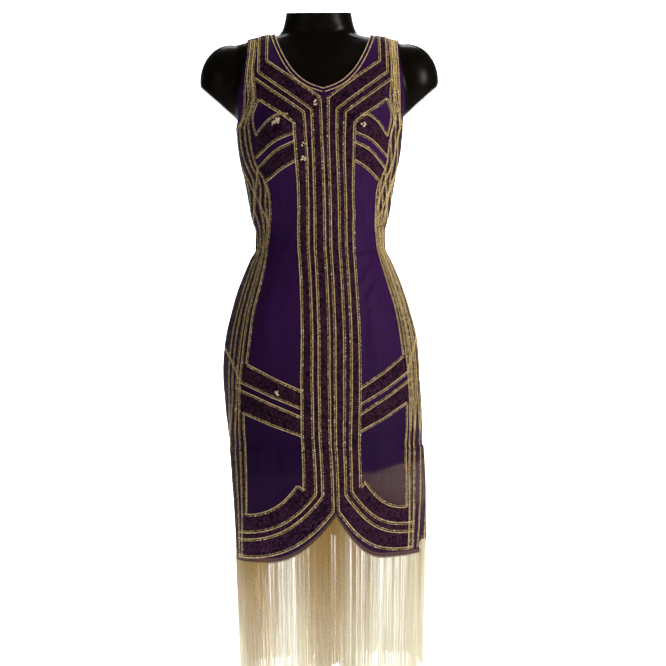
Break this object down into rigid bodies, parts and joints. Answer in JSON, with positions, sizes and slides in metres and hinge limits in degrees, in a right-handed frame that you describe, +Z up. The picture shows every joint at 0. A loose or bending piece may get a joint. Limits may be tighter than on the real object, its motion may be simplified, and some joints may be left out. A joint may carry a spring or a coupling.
{
  "type": "flapper dress on a dress form",
  "caption": "Sleeveless beaded flapper dress with a scalloped hem and long hanging fringe, worn by a black torso form on a pole and round base.",
  "frame": {"origin": "on the floor, under the middle of the stand's round base", "axes": "+Z up, the dress's front faces -Y, +X is to the right as seen from the front"},
  "size_m": [0.406, 0.3, 1.1661],
  "materials": {
    "beaded_net": "sheer dark violet net with plum sequin bands and gold bead lines",
    "violet_lining": "smooth violet satin",
    "gold_fringe": "silky pale gold strands",
    "black_form": "half-gloss black moulded plastic",
    "stand_steel": "satin steel"
  },
  "bodies": {
    "root": {"net_front": "beaded_net", "net_back": "beaded_net", "lining_front": "violet_lining", "lining_back": "violet_lining", "fringe_front": "gold_fringe", "fringe_back": "gold_fringe", "form_torso": "black_form", "form_pole": "stand_steel", "form_base": "stand_steel"}
  },
  "joints": []
}
